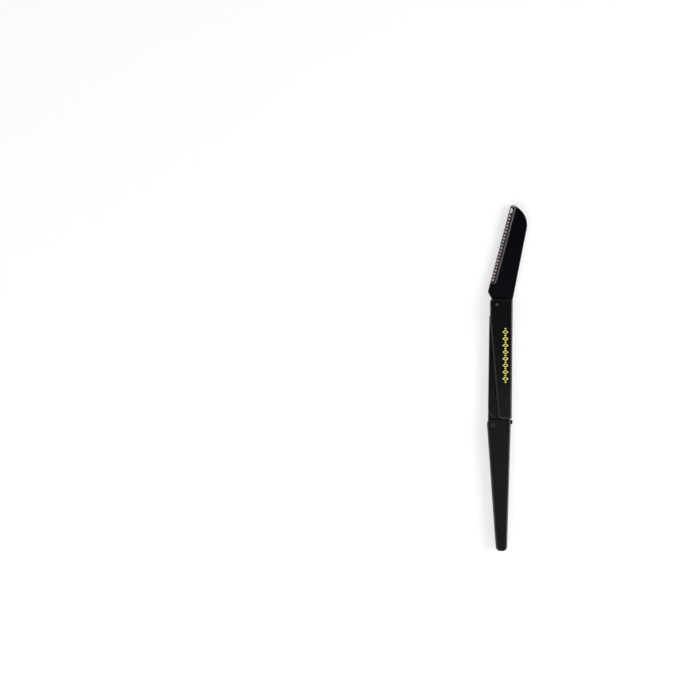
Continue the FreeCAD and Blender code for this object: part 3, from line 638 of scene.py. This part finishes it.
def finish_piece(name, mesh, place, body, sharp_angle=35):
    """The finished piece, with its place in its mesh, riding on a body."""
    mesh.name = name
    mesh.transform(place)
    mesh.polygons.foreach_set("use_smooth", [True] * len(mesh.polygons))
    mesh.set_sharp_from_angle(angle=math.radians(sharp_angle))
    piece = bpy.data.objects.new(name, mesh)
    scene.collection.objects.link(piece)
    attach(piece, body)
    print(name, "faces:", len(mesh.polygons))
    return piece


# %% [markdown]
# The foil starts as its folded section, a narrow V with parallel ends, drawn out along the head. A
# slab of the guard's outline trims it at the bottom, at the crown and round the tip. Below the tip the
# slab stands a little clear of the foil, because a boolean is unsure where two faces lie on each other.

# %% Folded foil
CUT_OVERRUN = 1
TRIM = 0.01
FOLD_GAP = 0.001
FOLD_STEP_Y = 40.0
RIM_RIGHT = FOLD_X + RIM_WIDTH

fold_slope = (FLAT_HALF - FOLD_HALF) / (FLAT_X - FOLD_X)
rim_inner_half = FOLD_HALF + fold_slope * (RIM_RIGHT - FOLD_X) - FOIL
upper_section = [
    (INSERT_RIGHT, FLAT_HALF),
    (FLAT_X, FLAT_HALF),
    (FOLD_X, FOLD_HALF),
]
inner_section = [
    (RIM_RIGHT, rim_inner_half),
    (FLAT_X, FLAT_HALF - FOIL),
    (INSERT_RIGHT, FLAT_HALF - FOIL),
]
section = upper_section + [(x, -z) for x, z in reversed(upper_section)]
section += [(x, -z) for x, z in reversed(inner_section)] + inner_section

foil_builder = bmesh.new()
ends = []
for y in (INSERT_LOW, TIP_Y + CUT_OVERRUN):
    ends.append([foil_builder.verts.new((x, y, z)) for x, z in section])
for i in range(len(section)):
    j = (i + 1) % len(section)
    foil_builder.faces.new((ends[0][i], ends[0][j], ends[1][j], ends[1][i]))
for end in ends:
    foil_builder.faces.new(end)
folded_foil = built_mesh("folded_foil", foil_builder)

outline_builder = bmesh.new()
outer_x = FOLD_X - CUT_OVERRUN
guard_outline = [
    (outer_x, INSERT_LOW + TRIM),
    (INSERT_RIGHT - TRIM, INSERT_LOW + TRIM),
    (INSERT_RIGHT - TRIM, INSERT_HIGH),
    (STRIP_RIGHT, INSERT_HIGH),
    (STRIP_RIGHT, crown_y(STRIP_RIGHT)),
]
guard_outline += reversed(tip_arc(0.0))
guard_outline += [(FOLD_X - FOLD_GAP, FOLD_STEP_Y), (outer_x, FOLD_STEP_Y)]
add_slab(outline_builder, guard_outline, -CUT_OVERRUN, CUT_OVERRUN)
folded_foil = carved(folded_foil, built_mesh("guard_outline", outline_builder), "INTERSECT")
print("folded foil, faces:", len(folded_foil.polygons))

# %% [markdown]
# The large window beside the tip has a straight side along the ridge and a round one. It goes through
# both leaves at once.

# %% Window beside the tip
WINDOW_GAP = 0.06
WINDOW_LEFT = RIM_RIGHT + WINDOW_GAP
TIP_WINDOW_MIDDLE = 44.43
TIP_WINDOW_LENGTH = 2.85
TIP_WINDOW_DEPTH = 1.15
half_chord = TIP_WINDOW_LENGTH / 2
bow_radius = (half_chord ** 2 + TIP_WINDOW_DEPTH ** 2) / (2 * TIP_WINDOW_DEPTH)
bow_half_angle = math.asin(half_chord / bow_radius)
bow_centre = WINDOW_LEFT + TIP_WINDOW_DEPTH - bow_radius
BOW_STEPS = 16
bow = []
for step in range(BOW_STEPS + 1):
    angle = bow_half_angle * (2 * step / BOW_STEPS - 1)
    bow.append((bow_centre + bow_radius * math.cos(angle), TIP_WINDOW_MIDDLE + bow_radius * math.sin(angle)))
bow_builder = bmesh.new()
add_slab(bow_builder, bow, -CUT_OVERRUN, CUT_OVERRUN)
folded_foil = carved(folded_foil, built_mesh("tip_window", bow_builder), "DIFFERENCE")
print("tip window in mm:", TIP_WINDOW_DEPTH, "by", TIP_WINDOW_LENGTH)

# %% [markdown]
# Piercing is a job for Geometry Nodes, because it repeats: a line of points, a punch on each, and one
# boolean for the whole row. The punch also throws up a thin lip round each window, on both faces.
# The same points carry the lips, tilted with the slope of the foil.

# %% The row of windows
WINDOW_RADIUS = 0.47
FIRST_WINDOW_RISE = 1.74
window_x = WINDOW_LEFT + WINDOW_RADIUS
window_sizes = {
    "Count": 21,
    "Pitch": 1.558,
    "First": STRIP_LOW + FIRST_WINDOW_RISE,
    "Across": window_x,
    "Radius": WINDOW_RADIUS,
    "Lip": 0.045,
    "Tilt": math.atan(fold_slope),
    "Height": FOLD_HALF + fold_slope * (window_x - FOLD_X),
}
PUNCH_LENGTH = 2.0
PUNCH_SIDES = 24
LIP_SIDES = 6

tree, sizes_in = new_tree("pierced_row", window_sizes)
start = add_node(tree, "ShaderNodeCombineXYZ", {"X": sizes_in["Across"], "Y": sizes_in["First"]})
step = add_node(tree, "ShaderNodeCombineXYZ", {"Y": sizes_in["Pitch"]})
row = add_node(tree, "GeometryNodeMeshLine", {
    "Count": sizes_in["Count"],
    "Start Location": start.outputs["Vector"],
    "Offset": step.outputs["Vector"],
})
punch = add_node(tree, "GeometryNodeMeshCylinder", {
    "Vertices": PUNCH_SIDES,
    "Radius": sizes_in["Radius"],
    "Depth": PUNCH_LENGTH,
})
punches = add_node(tree, "GeometryNodeInstanceOnPoints", {
    "Points": row.outputs["Mesh"],
    "Instance": punch.outputs["Mesh"],
})
real_punches = add_node(tree, "GeometryNodeRealizeInstances", {"Geometry": punches.outputs["Instances"]})
pierced = add_node(tree, "GeometryNodeMeshBoolean", {
    "Mesh 1": sizes_in["Geometry"],
    "Mesh 2": real_punches.outputs["Geometry"],
}, operation="DIFFERENCE", solver="EXACT")
lip_line = add_node(tree, "GeometryNodeCurvePrimitiveCircle", {
    "Resolution": PUNCH_SIDES,
    "Radius": sizes_in["Radius"],
})
lip_section = add_node(tree, "GeometryNodeCurvePrimitiveCircle", {
    "Resolution": LIP_SIDES,
    "Radius": sizes_in["Lip"],
})
lip = add_node(tree, "GeometryNodeCurveToMesh", {
    "Curve": lip_line.outputs["Curve"],
    "Profile Curve": lip_section.outputs["Curve"],
})
row_parts = [pierced.outputs["Mesh"]]
for face in (1, -1):
    height = add_node(tree, "ShaderNodeMath", {0: sizes_in["Height"], 1: float(face)}, operation="MULTIPLY")
    tilt = add_node(tree, "ShaderNodeMath", {0: sizes_in["Tilt"], 1: float(-face)}, operation="MULTIPLY")
    lift = add_node(tree, "ShaderNodeCombineXYZ", {"Z": height.outputs["Value"]})
    turn = add_node(tree, "ShaderNodeCombineXYZ", {"Y": tilt.outputs["Value"]})
    lips = add_node(tree, "GeometryNodeInstanceOnPoints", {
        "Points": row.outputs["Mesh"],
        "Instance": lip.outputs["Mesh"],
        "Rotation": turn.outputs["Vector"],
    })
    lifted = add_node(tree, "GeometryNodeTransform", {
        "Geometry": lips.outputs["Instances"],
        "Translation": lift.outputs["Vector"],
    })
    row_parts.append(lifted.outputs["Geometry"])
joined = add_node(tree, "GeometryNodeJoinGeometry")
for part in row_parts:
    tree.links.new(part, joined.inputs["Geometry"])
end_tree(tree, joined.outputs["Geometry"], foil_steel)

foil_mesh = run_tree(tree, folded_foil, window_sizes)
guard_foil = finish_piece("guard_foil", foil_mesh, head_frame, "head")
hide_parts("blade_guard")

# %% [markdown]
# Where the foil is folded it bulges to a round bead, and a finer lip borders the recess on the head's
# side. Both follow a path, so one tree makes them: it turns a line of points into a curve and sweeps a
# circle along it. The lip is there on both faces.

# %% Beads that follow a path
RIM_BEAD = 0.24
BEAD_SIDES = 16
BEAD_SHARP_ANGLE = 60

bead_tree, bead_in = new_tree("bead", {"Radius": RIM_BEAD})
bead_line = add_node(bead_tree, "GeometryNodeMeshToCurve", {"Mesh": bead_in["Geometry"]})
bead_section = add_node(bead_tree, "GeometryNodeCurvePrimitiveCircle", {
    "Resolution": BEAD_SIDES,
    "Radius": bead_in["Radius"],
})
bead = add_node(bead_tree, "GeometryNodeCurveToMesh", {
    "Curve": bead_line.outputs["Curve"],
    "Profile Curve": bead_section.outputs["Curve"],
    "Fill Caps": True,
})
end_tree(bead_tree, bead.outputs["Mesh"], bead_steel)


def add_path(builder, points, height):
    """A line of points at one height."""
    line = [builder.verts.new((x, y, height)) for x, y in points]
    for first, second in zip(line, line[1:]):
        builder.edges.new((first, second))


def bead_piece(name, points, heights, radius):
    """A bead along the points, once at each height."""
    builder = bmesh.new()
    for height in heights:
        add_path(builder, points, height)
    path = bpy.data.meshes.new(name)
    builder.to_mesh(path)
    builder.free()
    mesh = run_tree(bead_tree, path, {"Radius": radius})
    return finish_piece(name, mesh, head_frame, "head", BEAD_SHARP_ANGLE)


RIM_START = 0.2
RIM_END_GAP = 0.02
LIP_BEAD = 0.1
LIP_INSET = 0.1
LIP_RISE = 0.05
LIP_HEIGHT = FLAT_HALF + LIP_RISE
rim_end_x = STRIP_RIGHT - RIM_END_GAP
rim_path = [(FOLD_X + RIM_BEAD, INSERT_LOW + RIM_START)] + tip_arc(RIM_BEAD)
rim_path.append((rim_end_x, crown_y(rim_end_x, RIM_BEAD)))
bead_piece("guard_rim", rim_path, (0.0,), RIM_BEAD)
lip_x = STRIP_RIGHT - LIP_INSET
lip_path = low_arc(LIP_INSET) + [(lip_x, crown_y(lip_x, 2 * RIM_BEAD))]
bead_piece("guard_lip", lip_path, (LIP_HEIGHT, -LIP_HEIGHT), LIP_BEAD)

# %% [markdown]
# Between the windows and the lip lies a plain band of brighter metal, and the folded tip is bright too.
# Both are thin slabs on the foil, one for each face, with softened edges.

# %% Bright band and tip
BAND_GAP = 0.06
BAND_LEFT = FLAT_X + BAND_GAP
BAND_TOP = 0.06
BAND_SINK = 0.03
BAND_ROUND = 0.02
BAND_ROUND_STEPS = 2
TIP_CAP_LOW = 46.55

low_corner_x, low_corner_y = low_arc(LIP_INSET)[0]
band_outline = [point for point in low_arc(LIP_INSET) if point[0] > BAND_LEFT]
low_radius = LOW_CORNER - LIP_INSET
band_low_y = low_corner_y + low_radius - math.sqrt(low_radius ** 2 - (BAND_LEFT - low_corner_x) ** 2)
band_outline = [(BAND_LEFT, band_low_y)] + band_outline
band_outline += [(lip_x, crown_y(lip_x, RIM_BEAD)), (BAND_LEFT, crown_y(BAND_LEFT, RIM_BEAD))]
cap_arc = [point for point in tip_arc(RIM_BEAD) if point[1] > TIP_CAP_LOW]
cap_outline = [(cap_arc[0][0], TIP_CAP_LOW), (BAND_LEFT, TIP_CAP_LOW)]
cap_outline += [(BAND_LEFT, crown_y(BAND_LEFT, RIM_BEAD))] + list(reversed(cap_arc[1:]))


def plate_piece(name, outline, low, high, material):
    """A thin plate on each face of the guard."""
    builder = bmesh.new()
    add_slab(builder, outline, low, high)
    add_slab(builder, outline, -high, -low)
    bmesh.ops.bevel(
        builder, geom=list(builder.edges), offset=BAND_ROUND, segments=BAND_ROUND_STEPS, affect="EDGES"
    )
    mesh = built_mesh(name, builder)
    mesh.materials.append(material)
    return finish_piece(name, mesh, head_frame, "head")


plate_piece("guard_band", band_outline, FLAT_HALF - BAND_SINK, FLAT_HALF + BAND_TOP, band_steel)
plate_piece("guard_tip", cap_outline, FOLD_HALF - BAND_SINK, FLAT_HALF + BAND_TOP, tip_steel)

# %% [markdown]
# The sheath carries a gold print, stamped from foil in one narrow column. This one is a plain ornament
# of open lozenges with a small solid one before and after each. The open lozenge is built from given
# corners, and Geometry Nodes set it down the column and put the solid ones between. The print is two
# hundredths of a millimetre thick, as a hot-stamped foil is.

# %% Gold column
PANEL_FACE = 5.4
PRINT_FOIL = 0.02
print_sizes = {
    "Count": 8,
    "Pitch": 3.14,
    "Across": 2.3,
    "Top": 12.43,
    "Height": PANEL_FACE,
    "Dot Half Width": 0.62,
    "Dot Half Length": 0.36,
    "Foil": PRINT_FOIL,
}
LOZENGE_HALF_WIDTH = 1.45
LOZENGE_HALF_LENGTH = 1.02
STROKE = 0.36


def lozenge(share):
    """The corners of a lozenge, scaled by a share of the open one's size."""
    width = LOZENGE_HALF_WIDTH * share
    length = LOZENGE_HALF_LENGTH * share
    return [(width, 0), (0, length), (-width, 0), (0, -length)]


inner_share = 1 - STROKE * math.hypot(1 / LOZENGE_HALF_WIDTH, 1 / LOZENGE_HALF_LENGTH)
motif_builder = bmesh.new()
add_slab(motif_builder, lozenge(1), 0, PRINT_FOIL, hole=lozenge(inner_share))
motif = built_mesh("motif", motif_builder)

gold, gold_tree, gold_shader = new_finish("gold_print")
flecks = marks(gold_tree, (0.12, 0.12, 0.12), detail=3.0)
gold_tones = two_tones(gold_tree, flecks, deep=(0.84, 0.72, 0.14), pale=(0.98, 0.9, 0.32))
gold_tree.links.new(gold_tones, gold_shader.inputs["Base Color"])
gold_tree.links.new(between(gold_tree, flecks, low=0.4, high=0.6), gold_shader.inputs["Roughness"])
gold_relief = relief(gold_tree, flecks, strength=0.2, depth=0.005)
gold_tree.links.new(gold_relief, gold_shader.inputs["Normal"])

print_tree, print_in = new_tree("column", print_sizes)
down = add_node(print_tree, "ShaderNodeMath", {0: print_in["Pitch"], 1: -1.0}, operation="MULTIPLY")
column_step = add_node(print_tree, "ShaderNodeCombineXYZ", {"Y": down.outputs["Value"]})
half_step = add_node(print_tree, "ShaderNodeMath", {0: print_in["Pitch"], 1: 0.5}, operation="MULTIPLY")
dot_top = add_node(print_tree, "ShaderNodeMath", {
    0: print_in["Top"],
    1: half_step.outputs["Value"],
}, operation="ADD")
dot_count = add_node(print_tree, "ShaderNodeMath", {0: print_in["Count"], 1: 1.0}, operation="ADD")
half_foil = add_node(print_tree, "ShaderNodeMath", {0: print_in["Foil"], 1: 0.5}, operation="MULTIPLY")
dot_height = add_node(print_tree, "ShaderNodeMath", {
    0: print_in["Height"],
    1: half_foil.outputs["Value"],
}, operation="ADD")
four_sided = add_node(print_tree, "GeometryNodeMeshCylinder", {
    "Vertices": 4,
    "Radius": 1.0,
    "Depth": print_in["Foil"],
})
dot_size = add_node(print_tree, "ShaderNodeCombineXYZ", {
    "X": print_in["Dot Half Width"],
    "Y": print_in["Dot Half Length"],
    "Z": 1.0,
})
dot = add_node(print_tree, "GeometryNodeTransform", {
    "Geometry": four_sided.outputs["Mesh"],
    "Scale": dot_size.outputs["Vector"],
})
rows = (
    (print_in["Count"], print_in["Top"], print_in["Height"], print_in["Geometry"]),
    (
        dot_count.outputs["Value"],
        dot_top.outputs["Value"],
        dot_height.outputs["Value"],
        dot.outputs["Geometry"],
    ),
)
column = add_node(print_tree, "GeometryNodeJoinGeometry")
for count, top, height, motif_socket in rows:
    row_start = add_node(print_tree, "ShaderNodeCombineXYZ", {"X": print_in["Across"], "Y": top, "Z": height})
    places = add_node(print_tree, "GeometryNodeMeshLine", {
        "Count": count,
        "Start Location": row_start.outputs["Vector"],
        "Offset": column_step.outputs["Vector"],
    })
    motifs = add_node(print_tree, "GeometryNodeInstanceOnPoints", {
        "Points": places.outputs["Mesh"],
        "Instance": motif_socket,
    })
    print_tree.links.new(motifs.outputs["Instances"], column.inputs["Geometry"])
end_tree(print_tree, column.outputs["Geometry"], gold)
finish_piece("gold_column", run_tree(print_tree, motif, print_sizes), sheath_frame, "sheath")
